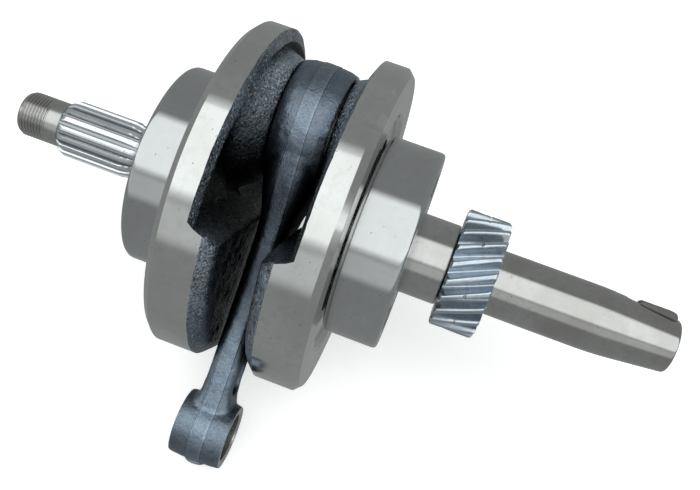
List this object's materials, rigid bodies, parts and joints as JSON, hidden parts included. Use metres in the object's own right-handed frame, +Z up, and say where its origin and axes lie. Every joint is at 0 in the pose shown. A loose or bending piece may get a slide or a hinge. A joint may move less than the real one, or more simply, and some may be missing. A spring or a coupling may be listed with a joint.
{
  "type": "crankshaft",
  "caption": "Built-up engine crankshaft with round webs, forged connecting rod, main ball bearings, helical timing gear, splined end and keyed taper.",
  "frame": {"origin": "on the floor under the middle of the bounding box, as the crankshaft lies on its web rims and rod eye", "axes": "+X along the crank axis from the threaded end to the taper end, +Z up, rod eye towards -Y"},
  "size_m": [0.2088, 0.1206, 0.102],
  "materials": {
    "crank_steel": "ground rims and shafts, shot-blasted forged inner faces",
    "rod_steel": "dark forged scale",
    "bearing_steel": "ground and polished",
    "cage_steel": "pressed sheet",
    "gear_steel": "hobbed and hardened",
    "key_steel": "ground"
  },
  "bodies": {
    "crank": {"left_crank_half": "crank_steel", "right_crank_half": "crank_steel", "crankpin": "crank_steel", "flywheel_key": "key_steel", "timing_gear": "gear_steel", "left_bearing_inner_ring": "bearing_steel", "right_bearing_inner_ring": "bearing_steel"},
    "rod": {"connecting_rod": "rod_steel"},
    "rod_rollers": {"big_end_cage": "cage_steel", "big_end_roller_01": "bearing_steel", "big_end_roller_02": "bearing_steel", "big_end_roller_03": "bearing_steel", "big_end_roller_04": "bearing_steel", "big_end_roller_05": "bearing_steel", "big_end_roller_06": "bearing_steel", "big_end_roller_07": "bearing_steel", "big_end_roller_08": "bearing_steel", "big_end_roller_09": "bearing_steel", "big_end_roller_10": "bearing_steel", "big_end_roller_11": "bearing_steel", "big_end_roller_12": "bearing_steel", "big_end_roller_13": "bearing_steel", "big_end_roller_14": "bearing_steel"},
    "left_outer_race": {"left_bearing_outer_ring": "bearing_steel"},
    "right_outer_race": {"right_bearing_outer_ring": "bearing_steel"},
    "left_ball_set": {"left_bearing_cage": "cage_steel", "left_bearing_ball_1": "bearing_steel", "left_bearing_ball_2": "bearing_steel", "left_bearing_ball_3": "bearing_steel", "left_bearing_ball_4": "bearing_steel", "left_bearing_ball_5": "bearing_steel", "left_bearing_ball_6": "bearing_steel", "left_bearing_ball_7": "bearing_steel"},
    "right_ball_set": {"right_bearing_cage": "cage_steel", "right_bearing_ball_1": "bearing_steel", "right_bearing_ball_2": "bearing_steel", "right_bearing_ball_3": "bearing_steel", "right_bearing_ball_4": "bearing_steel", "right_bearing_ball_5": "bearing_steel", "right_bearing_ball_6": "bearing_steel", "right_bearing_ball_7": "bearing_steel"}
  },
  "joints": [
    {"name": "rod_swing", "type": "hinge", "parent": "crank", "child": "rod", "pos_m": [-0.0165, 0.0256, 0.06965], "axis": [1, 0, 0], "continuous": true},
    {"name": "rod_rollers_roll", "type": "hinge", "parent": "crank", "child": "rod_rollers", "pos_m": [-0.0165, 0.0256, 0.06965], "axis": [1, 0, 0], "continuous": true},
    {"name": "left_outer_ring_turn", "type": "hinge", "parent": "crank", "child": "left_outer_race", "pos_m": [-0.048, 0.00933, 0.051], "axis": [1, 0, 0], "continuous": true},
    {"name": "left_balls_roll", "type": "hinge", "parent": "crank", "child": "left_ball_set", "pos_m": [-0.048, 0.00933, 0.051], "axis": [1, 0, 0], "continuous": true},
    {"name": "right_outer_ring_turn", "type": "hinge", "parent": "crank", "child": "right_outer_race", "pos_m": [0.015, 0.00933, 0.051], "axis": [1, 0, 0], "continuous": true},
    {"name": "right_balls_roll", "type": "hinge", "parent": "crank", "child": "right_ball_set", "pos_m": [0.015, 0.00933, 0.051], "axis": [1, 0, 0], "continuous": true}
  ],
  "couplings": [
    {"joint": "rod_rollers_roll", "follows": "rod_swing", "ratio": 0.5611},
    {"joint": "left_balls_roll", "follows": "left_outer_ring_turn", "ratio": 0.6253},
    {"joint": "right_balls_roll", "follows": "right_outer_ring_turn", "ratio": 0.6253}
  ]
}
